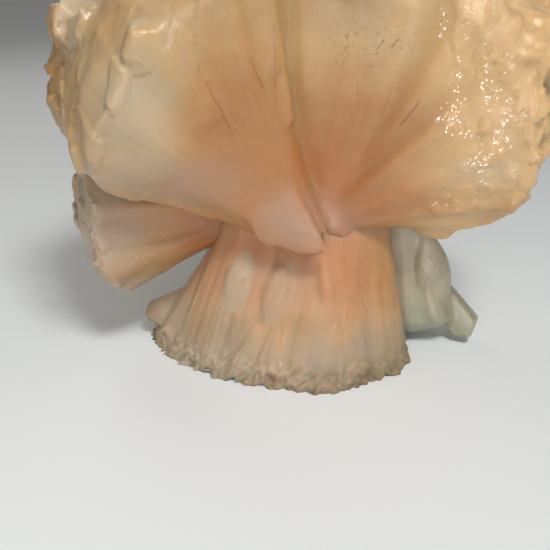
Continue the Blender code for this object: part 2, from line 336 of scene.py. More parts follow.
TAN_PATCHES = [
    ((5, -21, 52), (14, 12, 14), 0.6),
    # Painted shade on the left lobe's flank that faces the key light
    ((-14, -28, 62), (13, 12, 19), 0.75),
    # Painted shadow of the right lobe on the right side of the skirt
    ((22, -12, 24), (9, 12, 16), 1.0),
    ((-36, -12, 24), (14, 14, 8), 0.7),
    ((-42, -20, 65), (6, 14, 16), 0.75),
    ((-36, -26, 80), (6, 14, 10), 0.6),
    ((-53, -6, 66), (5, 20, 26), 0.9),
    ((-2, -30, 84), (24, 14, 10), 0.6),
    ((44, -26, 42), (14, 14, 5), 0.6),
    ((2, -22, 14), (14, 8, 3), 0.5),
]
PINK_PATCHES = [
    ((-25, -25, 47), (16, 12, 9), 1.0),
    ((1, -21, 38), (11, 10, 9), 0.95),
    ((10, -18, 36), (8, 10, 5), 0.6),
    ((-38, -10, 36), (14, 14, 5), 0.6),
    ((-4, -16, 22), (12, 8, 6), 0.4),
]
DIRT_AND_SHADE_PATCHES = [
    # Painted shade, not dirt: darkens the gap under the left lobe at the waist
    ((-20, -8, 32), (4, 8, 4), 0.3),
    ((12, -26, 74), (12, 10, 7), 0.12),
    ((13, -26, -0.5), (28, 22, 2.0), 0.5),
    ((-5.3, -24, 2.0), (2.6, 4, 1.2), 0.8),
    ((16, -22, 2.2), (2.6, 4, 1.2), 0.8),
    ((7.5, -27, 3.0), (2.2, 4, 3.0), 0.45),
    ((-11.8, -18, 21.9), (0.8, 5, 0.8), 1.0),
]
WET_PATCHES = [
    ((-20, -33, 82), (3, 8, 3), 0.5),
    ((-39, -28, 72), (4, 8, 4), 0.4),
    ((-35, -13, 27.5), (5, 6, 3.0), 1.0),
    ((-39, -14, 25.5), (3, 6, 2.0), 0.9),
    ((24, -28, 79), (4, 8, 5), 1.0),
    ((33, -30, 80), (5, 8, 5), 0.9),
    ((33, -30, 70), (6, 8, 8), 0.9),
    ((40, -31, 62), (7, 10, 12), 0.9),
    ((30, -27, 61), (6, 8, 4), 0.8),
    ((38, -29, 50), (7, 8, 6), 0.8),
    ((31, -24, 42), (4, 8, 4), 0.7),
    ((35, -4, 17), (2.5, 6, 3), 0.5),
]

# Where a patch ends and where it is full, in its radii
PATCH_FADE = (1.3, 0.2)

# How clearly the first two leaves show, and how white and pink they are
LEAF_STRENGTHS = (1.0, 0.55)
LEAF_WHITENESS = 0.8
LEAF_PINKNESS = 0.3

# Dark cleavage cracks that show in front: start and end in mm, half-width in mm, and darkness
CRACKS = [
    ((-19.1, -34, 72), (-11.6, -25, 54.5), 0.18, 0.5),
    ((-10.5, -30, 75), (-4.6, -24, 62.2), 0.16, 0.45),
    ((-5.0, -28, 84), (-4.4, -24, 60.0), 0.16, 0.4),
    ((-27.0, -34, 79), (-7.0, -21, 46.0), 0.22, 0.16),
    ((-15.0, -31, 80), (-2.0, -20, 50.0), 0.22, 0.16),
    ((11.5, -24, 68.0), (12.3, -22, 60.0), 0.20, 0.3),
    ((20.3, -20, 58.6), (24.4, -23, 65.5), 0.30, 0.6),
    ((14.0, -20, 50.0), (20.0, -25, 72.0), 0.30, 0.25),
    ((9.0, -26, 75.0), (9.6, -26, 78.0), 0.20, 0.55),
    ((14.5, -26, 73.0), (16.5, -26, 76.0), 0.20, 0.55),
    ((17.5, -26, 74.0), (19.0, -26, 76.0), 0.20, 0.6),
]

# How far a crack wanders in mm, which share of its width is full, and over which of its length it fades
CRACK_WANDERING = 0.28
CRACK_CORE = 0.4
CRACK_FADE = 0.2

# Noises of the material: times per metre, or per stretched unit, octaves and roughness
CLOUDS = (55.0, 4.0, 0.55)
MOTTLES = (260.0, 3.0, 0.6)
SPECKS = (1300.0, 2.0, 0.6)
GRAINS = (1100.0, 3.0, 0.6)
STREAKS = (1.0, 3.0, 0.5)
STRIATIONS = (1.0, 3.0, 0.6)
GLINT_CLUSTERS = (1.0, 3.0, 0.6)
CRACK_WIGGLES = (110.0, 4.0, 0.6)
CRACK_BREAKS = (420.0, 2.0, 0.5)
NOISE_RANGE = (0.3, 0.7)

# How fibre coordinates are stretched for streaks and striations, and places in m for clusters of glints
STREAK_STRETCH = (7, 5, 1.0)
STRIATION_STRETCH = (60, 40, 2.5)
CLUSTER_STRETCH = (260, 260, 120)

# Strength of each tint and pattern, the most that specks show, and how much paler the right lobe is, partly
# its own tone and partly painted light
TAN_STRENGTH = 0.9
ORANGE_STRENGTH = 0.85
PINK_STRENGTH = 0.9
WHITE_STRENGTH = 0.9
VEIL_STRENGTH = 0.22
CLOUD_STRENGTH = 0.10
SPECK_STRENGTH = 4.0
SPECK_LIMIT = 0.5
PALER_RIGHT = 0.65

# Light that enters the crystal, its coat, and how much of the coat the left side and the cap have
SUBSURFACE_WEIGHT = 0.9
SUBSURFACE_RADIUS = (1.0, 0.45, 0.22)
SUBSURFACE_SCALE = 0.0021
CRYSTAL_IOR = 1.5
COAT_ROUGHNESS = 0.10
DRY_LEFT = 0.4
DRY_CAP = 0.4

# Depth of the bump in m
STRIATION_BUMP = 0.00010
MOTTLE_BUMP = 0.00016
GRAIN_BUMP = 0.00016

# Small parallel faces of the wet druse: how many per metre, where they look, how much they are tilted,
# how much the faces between them are, and how many of them glint at most
GLINT_SCALE = 4000.0
GLINT_DIRECTION = (0.0, -0.86, 0.51)
GLINT_TILT = 0.34
DULL_TILT = 0.10
GLINT_SHARE = 0.6

# Camera of the photograph: place in m, tilt down in degrees, nearest distance that it sees in m, focal
# length and picture in pixels, and sensor in mm
CAMERA_PLACE = (-0.004627, -0.182609, 0.091141)
CAMERA_DOWN = 22.016
CAMERA_NEAREST = 0.01
FOCAL_PIXELS = 800
PICTURE_PIXELS = 550
SENSOR_WIDTH = 36

# Name, place, target, size in m, power in W and colour
LAMPS = (
    ("key", (0.12, -0.36, 0.50), (0, 0, 0.05), 0.14, 2.4, (1.0, 0.99, 0.97)),
    ("fill", (-0.04, -0.58, 0.13), (0, 0, 0.05), 0.4, 1.5, (1.0, 0.98, 0.95)),
    ("back", (-0.25, 0.40, 0.45), (0, 0, 0.06), 0.3, 0.5, (1.0, 0.94, 0.86)),
)

# Floor and surroundings
FLOOR_SIZE = 3
FLOOR_COLOUR = (0.82, 0.87, 0.90, 1)
FLOOR_ROUGHNESS = 0.55
WORLD_COLOUR = (0.33, 0.31, 0.29, 1)
WORLD_STRENGTH = 0.6


def unit(vector):
    vector = np.asarray(vector, float)
    return vector / np.linalg.norm(vector)


def fan_axes(fan):
    """The middle fibre, the wide direction and the thin direction."""
    along = unit(fan.toward)
    across = np.asarray(fan.across, float)
    wide = unit(across - along * along.dot(across))
    return along, wide, np.cross(along, wide)


def round_section(x, y):
    """Draws a square section, -1 to 1 both ways, towards a disc."""
    return (
        x * np.sqrt(1 - SECTION_ROUNDNESS * y * y / 2),
        y * np.sqrt(1 - SECTION_ROUNDNESS * x * x / 2),
    )


def fibre_points(fan, x, y, r, tip=0.0, foot=0.0):
    """Points at share r along the fibres at x, y in the fan's section, in mm. tip lengthens a fibre at
    its tip, and foot lets it start that far below the root."""
    along, wide, thin = fan_axes(fan)
    x, y, r = (np.asarray(value, float) for value in (x, y, r))
    a, b = round_section(x, y)
    spread = ROOT_SPREAD + (1 - ROOT_SPREAD) * r
    closing = 1 - PILLOW * smooth(*PILLOW_RANGE, r) * (fan in UPPER_FANS + FILLING_FANS)
    a_angle = np.radians(fan.wide) * a * spread
    b_angle = np.radians(fan.thin) * b * spread * closing
    direction = (
        np.multiply.outer(np.cos(a_angle) * np.cos(b_angle), along)
        + np.multiply.outer(np.sin(a_angle) * np.cos(b_angle), wide)
        + np.multiply.outer(np.sin(b_angle), thin)
    )
    start = np.asarray(fan.root) + np.multiply.outer(a * fan.root_wide, wide)
    start = start + np.multiply.outer(b * fan.root_thin, thin)
    if fan in LOWER_FANS:
        rim = np.maximum(abs(a), abs(b)) ** 4
        raised = RIM_CLEARANCE + fan.heel * ((1 - a) / 2) ** 2 + tip
        length = (start[..., 2] + CUT_DEPTH - rim * (CUT_DEPTH + raised)) / -direction[..., 2]
    else:
        heel = fan.heel * ((1 - a) / 2) ** 5
        length = fan.reach * (1 - heel + fan.lean * a - EDGE_FALL * a**4 - FACE_FALL * b * b) + tip
    travel = length * r - foot * (1 - r) ** 2
    lip = smooth(-1, 0.5, x) * np.clip((1 - y) / 2, 0, 1) ** 2 * np.clip(1 - r / 0.5, 0, 1) ** 2
    return start + direction * travel[..., None] + np.multiply.outer(lip, np.asarray(fan.drop, float))


class Strips:
    """Uneven strips across -1 to 1, with close pairs of points at the steps between them."""

    def __init__(self, rng, count, inner, gap=STRIP_GAP):
        widths = rng.uniform(1 - STRIP_UNEVENNESS, 1 + STRIP_UNEVENNESS, count)
        edges = np.concatenate([[0], np.cumsum(widths)])
        edges = 2 * edges / edges[-1] - 1
        local = np.linspace(-1 + gap, 1 - gap, inner + 1)
        middle = (edges[:-1] + edges[1:]) / 2
        half = (edges[1:] - edges[:-1]) / 2
        self.count = count
        self.at = (middle[:, None] + half[:, None] * local).ravel()
        self.strip = np.repeat(np.arange(count), inner + 1)
        self.local = np.tile(local, count)
        self.at[0], self.at[-1] = -1, 1


def block_surface(xs, ys, zs):
    """Lattice indices of a box's surface points, and its outward quads."""
    shape = (len(xs), len(ys), len(zs))
    on_surface = np.zeros(shape, bool)
    for axis in range(3):
        for end in (0, -1):
            on_surface[(slice(None),) * axis + (end,)] = True
    number = np.full(shape, -1)
    number[on_surface] = np.arange(on_surface.sum())

    def quads(grid):
        return np.stack([grid[:-1, :-1], grid[1:, :-1], grid[1:, 1:], grid[:-1, 1:]], -1).reshape(-1, 4)

    sides = [
        number[-1], number[0].T, number[:, -1].T, number[:, 0], number[:, :, -1], number[:, :, 0].T
    ]
    return np.argwhere(on_surface), np.concatenate([quads(side) for side in sides])


def smooth(low, high, value):
    share = np.clip((value - low) / (high - low), 0, 1)
    return share * share * (3 - 2 * share)


def swell(rng, x, r):
    """Slow waves over a fan's face, from -1 to 1 or so."""
    total = np.zeros_like(x)
    for _ in range(SWELL_WAVES):
        total += np.sin(rng.uniform(1.5, 5) * x + rng.uniform(1, 4) * r + rng.uniform(0, FULL_TURN))
    return total / SWELL_WAVES


def strip_relief(rng, strips, index, r):
    """Height of a face made of soft folds with low steps between its blades, in mm."""
    at, strip = strips.at[index], strips.strip[index]
    folds = max(2, strips.count // BLADES_PER_FOLD)
    centres = np.sort(rng.uniform(-1, 1, folds)) + 0.06 * rng.uniform(-1, 1, folds) * r[:, None]
    width = rng.uniform(0.5, 1.6, folds) / folds
    start = rng.uniform(-0.2, 0.5, folds)
    rising = np.clip((r[:, None] - start) / 0.5, 0, 1)
    fold = np.exp(-(((at[:, None] - centres) / width) ** 2)) * rng.uniform(0.3, 1.0, folds) * rising
    big = max(2, strips.count // BLADES_PER_GROUP)
    group = np.sort(rng.integers(0, big, strips.count))[strip]
    big_height = rng.uniform(-1, 1, big)
    big_start = rng.uniform(0.0, 0.7, big)
    rise = smooth(big_start[group], big_start[group] + 0.12, r)
    return FOLD * (fold.sum(1) - 0.5) + BLADE_STEP * big_height[group] * rise


def fan_surface(fan):
    """Points in mm, quads and fibre coordinates of one fan."""
    rng = np.random.default_rng(SEED + sum(map(ord, fan.name)))
    along, wide, thin = fan_axes(fan)
    across = Strips(rng, fan.blades, BLADE_POINTS)
    sheets = Strips(rng, fan.layers, SHEET_POINTS, SHEET_GAP)
    rows = np.linspace(0, 1, fan.rows + 1)
    lattice, faces = block_surface(across.at, sheets.at, rows)
    i, j, k = lattice.T
    x, y, r = across.at[i], sheets.at[j], rows[k]
    cell = across.strip[i], sheets.strip[j]
    sheet_tip = rng.uniform(-1, 1, fan.layers)
    sheet_turn = rng.uniform(0, FULL_TURN, (2, fan.layers))
    blade_tip = rng.uniform(-1, 1, fan.blades)
    cell_tip = rng.uniform(-1, 1, (fan.blades, fan.layers * 2)) ** 3
    half_sheet = 2 * cell[1] + (sheets.local[j] > 0)
    waves = np.sin(3 * x + sheet_turn[0][cell[1]]) + np.sin(7 * x + sheet_turn[1][cell[1]])
    tip = SHEET_TIP * (sheet_tip[cell[1]] + 0.4 * waves) - SHEET_ROUNDING * sheets.local[j] ** 2
    tip += fan.cells * (BLADE_TIP * blade_tip[cell[0]] + CELL_TIP * cell_tip[cell[0], half_sheet])
    tip *= fan.rough
    foot_of_cell = rng.uniform(0, 1, (fan.blades, fan.layers)) * ROOT_STEP
    points = fibre_points(fan, x, y, r, tip, foot_of_cell[cell])
    height = np.zeros(len(x))
    for end in (0, -1):
        on_broad = j == (end % len(sheets.at))
        height[on_broad] += strip_relief(rng, across, i[on_broad], r[on_broad])
        on_narrow = i == (end % len(across.at))
        height[on_narrow] += strip_relief(rng, sheets, j[on_narrow], r[on_narrow])
    height += SWELL * swell(rng, x * 2 + y, r) * smooth(0, 0.5, r) * (k < fan.rows)
    if fan in LOWER_FANS:
        height *= SKIRT_CALM
    on_side = (j == 0) | (j == len(sheets.at) - 1) | (i == 0) | (i == len(across.at) - 1)
    a, b = round_section(x, y)
    outward = np.multiply.outer(a * abs(a), wide) + np.multiply.outer(b * abs(b), thin)
    outward /= np.maximum(np.linalg.norm(outward, axis=1, keepdims=True), 1e-9)
    points = points + outward * (height * on_side)[:, None]
    return points, faces, np.stack([x, y, r], 1)


def crystal_surface(foot, tip, half_width, half_thickness, facing, leaf=False):
    """A flat crystal from foot to tip, in mm, its thin side towards facing. It ends in a chisel, or it
    narrows towards both ends if it is a leaf."""
    foot, tip, facing = (np.asarray(value, float) for value in (foot, tip, facing))
    reach = np.linalg.norm(tip - foot)
    along = (tip - foot) / reach
    thin = unit(facing - along * along.dot(facing))
    wide = np.cross(thin, along)
    step_counts = LEAF_STEPS if leaf else CHISEL_STEPS
    steps = np.linspace(-1, 1, step_counts[0])
    length_steps = np.linspace(0, 1, step_counts[1])
    lattice, faces = block_surface(steps, steps, length_steps)
    x, y = steps[lattice[:, 0]], steps[lattice[:, 1]]
    share = length_steps[lattice[:, 2]]
    if leaf:
        a, b = round_section(x, y)
        width = LEAF_END_WIDTH + (1 - LEAF_END_WIDTH) * np.sin(np.pi * share)
        travel = reach * share
    else:
        a, b = x, y * np.where(x == 0, MIDDLE_SWELL, 1.0)
        width = FOOT_WIDTH + (1 - FOOT_WIDTH) * share
        travel = share * (reach - half_width * CHISEL_SLOPE * abs(x))
    points = foot + np.multiply.outer(travel, along)
    points = points + np.multiply.outer(a * half_width * width, wide)
    points = points + np.multiply.outer(b * half_thickness * width, thin)
    return points, faces


def proud_blades(fan, rng):
    """Single blades along a fan's fibres that stand a little proud of its two broad faces."""
    thin = fan_axes(fan)[2]
    for number in range(PROUD_BLADES):
        side = -1 if number % 3 else 1
        x = rng.uniform(-BLADE_SPREAD, BLADE_SPREAD)
        y = side * (BLADE_FOOT_PLACE - 2 * BLADE_DEPTH)
        foot = fibre_points(fan, x, y, rng.uniform(*BLADE_START))
        x += rng.uniform(-BLADE_SLANT, BLADE_SLANT)
        y = side * (BLADE_TIP_PLACE - BLADE_DEPTH)
        tip = fibre_points(fan, x, y, rng.uniform(*BLADE_END))
        half_width = rng.uniform(*BLADE_HALF_WIDTH)
        yield crystal_surface(foot, tip, half_width, rng.uniform(*BLADE_HALF_THICKNESS), thin * side)


def cap_crystals(fan, rng):
    """Blocky crystals that end a fan's fibres and stand out of its rim."""
    thin = fan_axes(fan)[2]
    for _ in range(CAP_CRYSTALS):
        x, y = (rng.uniform(-spread, spread) for spread in CAP_SPREAD)
        foot = fibre_points(fan, x, y, CAP_START)
        tip = fibre_points(fan, x, y, rng.uniform(*CAP_END))
        half_width = rng.uniform(*CAP_HALF_WIDTH)
        yield crystal_surface(foot, tip, half_width, rng.uniform(*CAP_HALF_THICKNESS), thin)


def lip_plate(rng):
    """Points in mm and quads of the thin plate over the waist, with a ragged lower edge."""
    strips = Strips(rng, LIP_BLADES, LIP_POINTS)
    rows = np.linspace(0, 1, LIP_ROWS)
    lattice, faces = block_surface(strips.at, np.array([-1.0, 0.0, 1.0]), rows)
    i, j, k = lattice.T
    strip, share, down = strips.strip[i], (strips.at[i, None] + 1) / 2, rows[k, None]
    top = LIP_TOP[0] + share * (LIP_TOP[1] - LIP_TOP[0])
    bottom = LIP_BOTTOM[0] + share * (LIP_BOTTOM[1] - LIP_BOTTOM[0])
    facing = unit(np.cross(LIP_BOTTOM[0] - LIP_TOP[1], LIP_TOP[0] - LIP_BOTTOM[1]))
    tooth = LIP_TOOTH * rng.uniform(-1, 1, strips.count)[strip, None] * down**2
    step = LIP_STEP * rng.uniform(-1, 1, strips.count)[strip, None] * down
    half = LIP_HALF_THICKNESS[0] + (LIP_HALF_THICKNESS[1] - LIP_HALF_THICKNESS[0]) * down
    points = top + (bottom - top) * (down + tooth / LIP_REACH) + facing * ((j[:, None] - 1) * half + step)
    return points, faces


def placed_crystals(table, leaf=False):
    """The crystals of a table by name."""
    made = {}
    for name, foot, tip, half_width, half_thickness, turn in table:
        along = Vector(tip) - Vector(foot)
        facing = Matrix.Rotation(math.radians(turn), 3, along) @ FRONT
        if leaf:
            foot, tip = Vector(foot) - LEAF_SINK * facing, Vector(tip) - LEAF_SINK * facing
        made[name] = add_mesh(name, *crystal_surface(foot, tip, half_width, half_thickness, facing, leaf))
    return made


def add_mesh(name, points, faces, fibres=None):
    mesh = bpy.data.meshes.new(name)
    mesh.from_pydata((np.asarray(points) * MM).tolist(), [], np.asarray(faces).tolist())
    if fibres is not None:
        kept = mesh.attributes.new("fibre", "FLOAT_VECTOR", "POINT")
        kept.data.foreach_set("vector", np.asarray(fibres, np.float32).ravel())
    made = bpy.data.objects.new(name, mesh)
    bpy.context.scene.collection.objects.link(made)
    return made


def joined(name, core, others):
    """One body of the core and the others, which are used up."""
    operands = bpy.data.collections.new(name + "_operands")
    bpy.context.scene.collection.children.link(operands)
    for other in others:
        bpy.context.scene.collection.objects.unlink(other)
        operands.objects.link(other)
    union = core.modifiers.new("joined", "BOOLEAN")
    union.operation = "UNION"
    union.solver = "MANIFOLD"
    union.operand_type = "COLLECTION"
    union.collection = operands
    mesh = bpy.data.meshes.new_from_object(core.evaluated_get(bpy.context.evaluated_depsgraph_get()))
    for used in [core] + list(others):
        bpy.data.objects.remove(used, do_unlink=True)
    bpy.data.collections.remove(operands)
    mesh.name = name
    made = bpy.data.objects.new(name, mesh)
    bpy.context.scene.collection.objects.link(made)
    return made


def mesh_points(mesh):
    """The mesh's points in mm."""
    points = np.zeros(len(mesh.vertices) * 3, np.float32)
    mesh.vertices.foreach_get("co", points)
    return points.reshape(-1, 3).astype(float) / MM


def set_mesh_points(mesh, points):
    mesh.vertices.foreach_set("co", (points * MM).astype(np.float32).ravel())
    mesh.update()


def mesh_normals(mesh):
    normals = np.zeros(len(mesh.vertices) * 3, np.float32)
    mesh.vertex_normals.foreach_get("vector", normals)
    return normals.reshape(-1, 3).astype(float)


def mesh_edges(mesh):
    edges = np.zeros(len(mesh.edges) * 2, np.int32)
    mesh.edges.foreach_get("vertices", edges)
    return edges.reshape(-1, 2)


def relaxed(values, edges, shares, rounds):
    """Values at the points of a mesh, drawn towards their neighbours' mean."""
    here = np.concatenate([edges[:, 0], edges[:, 1]])
    there = np.concatenate([edges[:, 1], edges[:, 0]])
    neighbours = np.maximum(np.bincount(here, minlength=len(values)), 1)
    for _ in range(rounds):
        sums = [np.bincount(here, column[there], len(values)) for column in values.T]
        values = values + (np.stack(sums, 1) / neighbours[:, None] - values) * shares[:, None]
    return values


def grown_over(name, rough, voxel):
    """The rough body as one even, fine surface with softened steps. It keeps its fibre coordinates."""
    points = mesh_points(rough.data)
    fibres = np.zeros(len(points) * 3, np.float32)
    rough.data.attributes["fibre"].data.foreach_get("vector", fibres)
    fibres = fibres.reshape(-1, 3)
    known = np.flatnonzero(np.abs(fibres).max(1) > 0)
    tree = KDTree(len(known))
    for index in known:
        tree.insert(points[index], int(index))
    tree.balance()
    even = rough.modifiers.new("even", "REMESH")
    even.mode = "VOXEL"
    even.voxel_size = voxel * MM
    mesh = bpy.data.meshes.new_from_object(rough.evaluated_get(bpy.context.evaluated_depsgraph_get()))
    bpy.data.objects.remove(rough, do_unlink=True)
    points, edges = mesh_points(mesh), mesh_edges(mesh)
    points = relaxed(points, edges, softness(name, points), SOFTENING_ROUNDS)
    set_mesh_points(mesh, points)
    nearest = [tree.find(point)[1] for point in points]
    shares = np.full(len(points), FIBRE_SOFTNESS)
    kept = relaxed(fibres[nearest].astype(float), edges, shares, FIBRE_ROUNDS)
    points = points + mesh_normals(mesh) * fine_relief(name, points, kept)[:, None]
    set_mesh_points(mesh, points)
    for old in list(mesh.attributes):
        if old.name == "fibre":
            mesh.attributes.remove(old)
    attribute = mesh.attributes.new("fibre", "FLOAT_VECTOR", "POINT")
    attribute.data.foreach_set("vector", kept.astype(np.float32).ravel())
    mesh.name = name
    made = bpy.data.objects.new(name, mesh)
    bpy.context.scene.collection.objects.link(made)
    return made


class Nodes:
    """A node tree that is filled by short calls."""

    def __init__(self, material):
        material.use_nodes = True
        self.tree = material.node_tree
        self.shader = self.tree.nodes["Principled BSDF"]

    def add(self, kind, inputs=(), **settings):
        node = self.tree.nodes.new(kind)
        for name, value in settings.items():
            setattr(node, name, value)
        for name, value in dict(inputs).items():
            self.feed(value, node.inputs[name])
        return node

    def feed(self, value, socket):
        if isinstance(value, bpy.types.NodeSocket):
            self.tree.links.new(value, socket)
        else:
            socket.default_value = value

    def attribute(self, name):
        return self.add("ShaderNodeAttribute", attribute_name=name).outputs["Vector"]

    def split(self, vector):
        return self.add("ShaderNodeSeparateXYZ", {0: vector}).outputs

    def maths(self, operation, *values):
        return self.add("ShaderNodeMath", dict(enumerate(values)), operation=operation).outputs[0]

    def dot(self, first, second):
        inputs = {0: first, 1: second}
        return self.add("ShaderNodeVectorMath", inputs, operation="DOT_PRODUCT").outputs["Value"]

    def vector(self, operation, *values, **named):
        inputs = dict(enumerate(values)) | named
        return self.add("ShaderNodeVectorMath", inputs, operation=operation).outputs["Vector"]

    def stretched(self, vector, scale):
        inputs = {0: vector, 1: scale}
        return self.add("ShaderNodeVectorMath", inputs, operation="MULTIPLY").outputs[0]

    def noise(self, vector, scale, detail, roughness):
        inputs = {"Vector": vector, "Scale": scale, "Detail": detail, "Roughness": roughness}
        return self.add("ShaderNodeTexNoise", inputs).outputs["Fac"]

    def ranged(self, value, low, high, to_low=0.0, to_high=1.0):
        inputs = {"Value": value, 1: low, 2: high, 3: to_low, 4: to_high}
        return self.add("ShaderNodeMapRange", inputs, interpolation_type="SMOOTHSTEP").outputs[0]

    def product(self, first, second):
        return self.maths("MULTIPLY", first, second)

    def total(self, first, second):
        return self.maths("ADD", first, second)

    def scaled(self, vector, scale):
        return self.vector("SCALE", vector, Scale=scale)

    def tinted(self, share, under, tint):
        inputs = {"Factor": share, 6: under, 7: (*tint, 1)}
        return self.add("ShaderNodeMix", inputs, data_type="RGBA").outputs[2]

    def ramp(self, value, *stops):
        node = self.add("ShaderNodeValToRGB", {0: value})
        ramp = node.color_ramp
        while len(ramp.elements) < len(stops):
            ramp.elements.new(0.5)
        for element, (position, colour) in zip(ramp.elements, stops):
            element.position = position
            element.color = (*colour, 1)
        return node.outputs[0]


def crack_share(nodes, position):
    """Share of dark crack: thin planes that cut into the lobe from the front."""
    wandering = CRACK_WANDERING * MM
    wiggle = nodes.ranged(nodes.noise(position, *CRACK_WIGGLES), 0.2, 0.8, -wandering, wandering)
    broken = nodes.ranged(nodes.noise(position, *CRACK_BREAKS), 0.38, 0.52)
    most = 0.0
    for start, end, width, darkness in CRACKS:
        start, end = Vector(start) * MM, Vector(end) * MM
        along = (end - start).normalized()
        across = along.cross(Vector((0, 1, 0))).normalized()
        offset = nodes.maths("SUBTRACT", nodes.dot(position, across), start.dot(across))
        aside = nodes.maths("ABSOLUTE", nodes.total(offset, wiggle))
        line = nodes.ranged(aside, width * MM, CRACK_CORE * width * MM, 0.0, darkness)
        travel = nodes.dot(position, along)
        first, last = start.dot(along), end.dot(along)
        begun = nodes.ranged(travel, first, first + CRACK_FADE * (last - first))
        ended = nodes.ranged(travel, last, last - CRACK_FADE * (last - first))
        line = nodes.product(line, nodes.product(begun, ended))
        most = nodes.maths("MAXIMUM", most, line)
    in_front = nodes.ranged(nodes.split(position)[1], -0.004, -0.010)
    return nodes.product(nodes.product(most, in_front), broken)


def crystal_colour(nodes, place, position, looks, tints, patterns, cracked):
    """Colour along the fibres, with the tints, some of them painted shade and light, and the veils, dirt
    with painted shade, specks and cracks over it.
    """
    stops, fine_streak, cloud, mottle = patterns
    colour = nodes.ramp(place, *stops)
    if cracked:
        # The right lobe is paler: partly its own tone, partly painted light on its inner flank, which faces
        # away from the key light
        paler = nodes.ranged(nodes.split(position)[0], 0.008, 0.032, 0.0, PALER_RIGHT)
        colour = nodes.tinted(paler, colour, LIGHT_PEACH)
    uneven = nodes.ranged(mottle, *NOISE_RANGE, 0.75, 1.25)
    for share, strength, tint in (
        (looks[2], TAN_STRENGTH, TAN),
        (looks[0], ORANGE_STRENGTH, ORANGE),
        (tints[0], PINK_STRENGTH, PINK),
        (looks[1], WHITE_STRENGTH, WHITE),
    ):
        colour = nodes.tinted(nodes.product(nodes.product(share, strength), uneven), colour, tint)
    veil = nodes.product(nodes.ranged(fine_streak, 0.5, 0.8), nodes.ranged(cloud, 0.4, 0.7))
    colour = nodes.tinted(nodes.product(veil, VEIL_STRENGTH), colour, WHITE)
    # Dirt and crumbs, and painted shade in the gap under the left lobe
    dirt_and_shade = nodes.product(tints[1], nodes.ranged(mottle, 0.35, 0.65, 0.2, 1.2))
    colour = nodes.tinted(dirt_and_shade, colour, DIRT_AND_SHADE)
    specks = nodes.ranged(nodes.noise(position, *SPECKS), 0.60, 0.66, 0.0, SPECK_STRENGTH)
    speckled = nodes.maths("MINIMUM", nodes.product(tints[1], specks), SPECK_LIMIT)
    colour = nodes.tinted(speckled, colour, CRACK_BROWN)
    if cracked:
        colour = nodes.tinted(crack_share(nodes, position), colour, CRACK_BROWN)
    return colour


def glinting_normal(nodes, position, wetness, bump):
    """Normal of the wet coat: some of its small faces look the same way, and glint together."""
    faces = nodes.add("ShaderNodeTexVoronoi", {"Vector": position, "Scale": GLINT_SCALE}).outputs
    tilt = nodes.vector("SUBTRACT", faces["Color"], (0.5, 0.5, 0.5))
    chance = nodes.add("ShaderNodeTexWhiteNoise", {"Vector": faces["Position"]}).outputs["Value"]
    clusters = nodes.noise(nodes.stretched(position, CLUSTER_STRETCH), *GLINT_CLUSTERS)
    clustered = nodes.ranged(clusters, 0.47, 0.57)
    likely = nodes.product(nodes.ranged(wetness, 0.1, 0.7, 0.0, GLINT_SHARE), clustered)
    wet = nodes.maths("LESS_THAN", chance, likely)
    facing = nodes.vector("ADD", GLINT_DIRECTION, nodes.scaled(tilt, GLINT_TILT))
    plain = nodes.vector("ADD", bump, nodes.scaled(tilt, DULL_TILT))
    dull = nodes.scaled(plain, nodes.maths("SUBTRACT", 1.0, wet))
    return nodes.vector("NORMALIZE", nodes.vector("ADD", dull, nodes.scaled(facing, wet)))


def crystal_material(name, stops, gloss, veins, cracked=False):
    """Waxy stilbite, coloured from the root to the tip of its fibres, with veils along them."""
    material = bpy.data.materials.new(name)
    nodes = Nodes(material)
    shader = nodes.shader.inputs
    position = nodes.add("ShaderNodeNewGeometry").outputs["Position"]
    fibre = nodes.attribute("fibre")
    along = nodes.split(fibre)[2]
    looks = nodes.split(nodes.attribute("looks"))
    tints = nodes.split(nodes.attribute("tints"))
    streak = nodes.noise(nodes.stretched(fibre, STREAK_STRETCH), *STREAKS)
    fine_streak = nodes.noise(nodes.stretched(fibre, STRIATION_STRETCH), *STRIATIONS)
    cloud = nodes.noise(position, *CLOUDS)
    mottle = nodes.noise(position, *MOTTLES)
    place = nodes.total(along, nodes.ranged(streak, *NOISE_RANGE, -veins, veins))
    place = nodes.total(place, nodes.ranged(cloud, *NOISE_RANGE, -CLOUD_STRENGTH, CLOUD_STRENGTH))
    patterns = stops, fine_streak, cloud, mottle
    colour = crystal_colour(nodes, place, position, looks, tints, patterns, cracked)
    nodes.feed(colour, shader["Base Color"])
    shader["Subsurface Weight"].default_value = SUBSURFACE_WEIGHT
    shader["Subsurface Radius"].default_value = SUBSURFACE_RADIUS
    shader["Subsurface Scale"].default_value = SUBSURFACE_SCALE
    shader["IOR"].default_value = CRYSTAL_IOR
    roughness = nodes.ranged(cloud, *NOISE_RANGE, 0.5 - 0.35 * gloss, 0.6 - 0.25 * gloss)
    nodes.feed(roughness, shader["Roughness"])
    shader["Coat Weight"].default_value = gloss
    if cracked:
        wetter = nodes.ranged(nodes.split(position)[0], -0.015, 0.015, DRY_LEFT * gloss, gloss)
        off_cap = nodes.ranged(along, 0.86, 0.98, 1.0, DRY_CAP)
        nodes.feed(nodes.product(wetter, off_cap), shader["Coat Weight"])
    shader["Coat Roughness"].default_value = COAT_ROUGHNESS
    height = nodes.product(fine_streak, STRIATION_BUMP)
    height = nodes.total(height, nodes.product(mottle, MOTTLE_BUMP))
    grain = nodes.product(nodes.noise(position, *GRAINS), tints[2])
    height = nodes.total(height, nodes.product(grain, GRAIN_BUMP))
    bump = nodes.add("ShaderNodeBump", {"Height": height, "Strength": 1.0, "Distance": 1.0}).outputs[0]
    nodes.feed(bump, shader["Normal"])
    nodes.feed(glinting_normal(nodes, position, tints[2], bump), shader["Coat Normal"])
    return material


